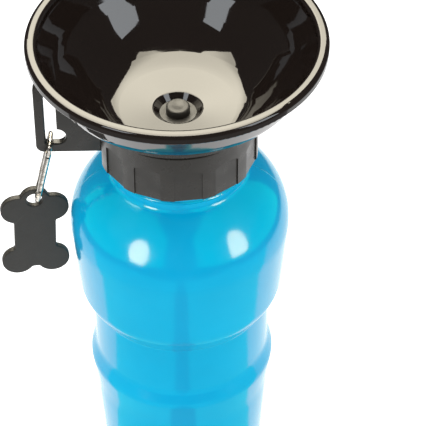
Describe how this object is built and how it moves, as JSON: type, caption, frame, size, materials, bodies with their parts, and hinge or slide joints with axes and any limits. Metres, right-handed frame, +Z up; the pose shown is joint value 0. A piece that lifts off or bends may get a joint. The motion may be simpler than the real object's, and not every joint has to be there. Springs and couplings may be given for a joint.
{
  "type": "dog travel water bottle",
  "caption": "Squeeze water bottle for dogs with a wide drinking bowl that twists open on a screw collar, a strap tab, and a bone tag on a small snap hook.",
  "frame": {"origin": "centre of the base, on the surface that the bottle stands on", "axes": "+Z up the bottle to the bowl's rim, strap tab to -X, camera side to -Y"},
  "size_m": [0.1269, 0.112, 0.225],
  "materials": {
    "bottle_plastic": "gloss blow-moulded LDPE",
    "collar_plastic": "satin moulded polypropylene",
    "bowl_plastic": "high-gloss moulded ABS",
    "valve_plastic": "moulded",
    "tube_plastic": "translucent extruded tube",
    "seal_rubber": "silicone",
    "hook_metal": "nickel plated",
    "tag_rubber": "matte moulded rubber"
  },
  "bodies": {
    "bottle": {"bottle": "bottle_plastic"},
    "gasket": {"neck_gasket": "seal_rubber"},
    "collar": {"collar": "collar_plastic", "valve_post": "valve_plastic", "valve_seal": "seal_rubber", "dip_tube": "tube_plastic"},
    "bowl_oring": {"bowl_oring": "seal_rubber"},
    "bowl": {"bowl": "bowl_plastic"},
    "hook": {"hook_body": "hook_metal"},
    "gate": {"hook_gate": "hook_metal", "hinge_pin": "hook_metal", "latch_pin": "hook_metal", "gate_plunger": "hook_metal", "gate_spring": "hook_metal"},
    "tag": {"bone_tag": "tag_rubber"}
  },
  "joints": [
    {"name": "collar_rise", "type": "slide", "parent": "bottle", "child": "gasket", "axis": [0, 0, 1], "range_m": [0, 0.009]},
    {"name": "collar_turn", "type": "hinge", "parent": "gasket", "child": "collar", "pos_m": [0, 0, 0.17], "axis": [0, 0, 1], "range_deg": [0, 540]},
    {"name": "bowl_rise", "type": "slide", "parent": "collar", "child": "bowl_oring", "axis": [0, 0, 1], "range_m": [0, 0.0025]},
    {"name": "bowl_turn", "type": "hinge", "parent": "bowl_oring", "child": "bowl", "pos_m": [0, 0, 0.19], "axis": [0, 0, 1], "range_deg": [0, 90]},
    {"name": "hook_swing", "type": "hinge", "parent": "collar", "child": "hook", "pos_m": [-0.04855, 0, 0.1727], "axis": [1, 0, 0], "range_deg": [-35, 35]},
    {"name": "gate_swing", "type": "hinge", "parent": "hook", "child": "gate", "pos_m": [-0.05377, -0.0046, 0.15403], "axis": [-0.9753, 0, 0.221], "range_deg": [0, 4], "stiffness_Nm_per_rad": 0.02, "springref_deg": -20.05},
    {"name": "tag_swing", "type": "hinge", "parent": "hook", "child": "tag", "pos_m": [-0.05527, 0, 0.1474], "axis": [-0.1547, 0.988, 0], "range_deg": [0, 40]}
  ],
  "couplings": [
    {"joint": "collar_rise", "follows": "collar_turn", "m_per_rad": 0.00095492},
    {"joint": "bowl_rise", "follows": "bowl_turn", "m_per_rad": 0.0015915}
  ]
}
